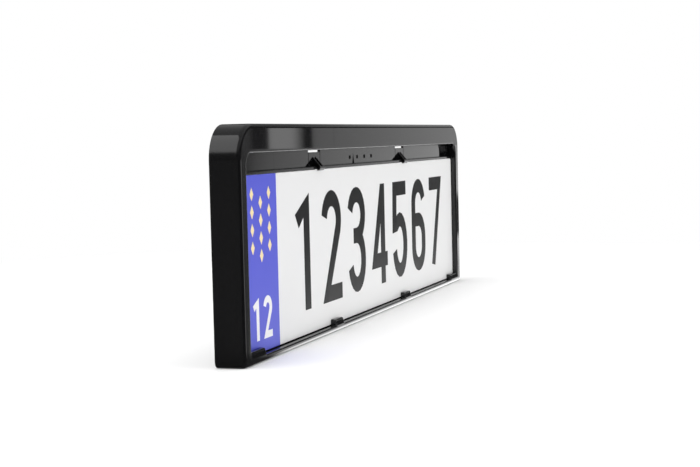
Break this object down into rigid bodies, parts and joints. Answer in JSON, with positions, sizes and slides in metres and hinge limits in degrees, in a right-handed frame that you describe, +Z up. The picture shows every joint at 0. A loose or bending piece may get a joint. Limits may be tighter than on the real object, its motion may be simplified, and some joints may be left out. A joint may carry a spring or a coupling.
{
  "type": "number plate holder",
  "caption": "Black moulded surround with a deep hood that clips a long road number plate into a pocket and screws to a vehicle through its open ribbed back.",
  "frame": {"origin": "middle of the foot, under the centre of the bounding box", "axes": "+X along the width to the right as seen from the front, +Y from the face to the back rim, +Z up; the face looks along -Y"},
  "size_m": [0.544, 0.02, 0.1486],
  "materials": {
    "black_plastic": "black moulded plastic, semi-gloss",
    "plate_sheet": "white reflective film on an aluminium sheet",
    "field_film": "blue reflective film",
    "dark_print": "dark grey hot-stamped foil",
    "pale_print": "pale gold or white print"
  },
  "bodies": {
    "root": {"holder": "black_plastic", "number_plate": "plate_sheet"}
  },
  "joints": []
}
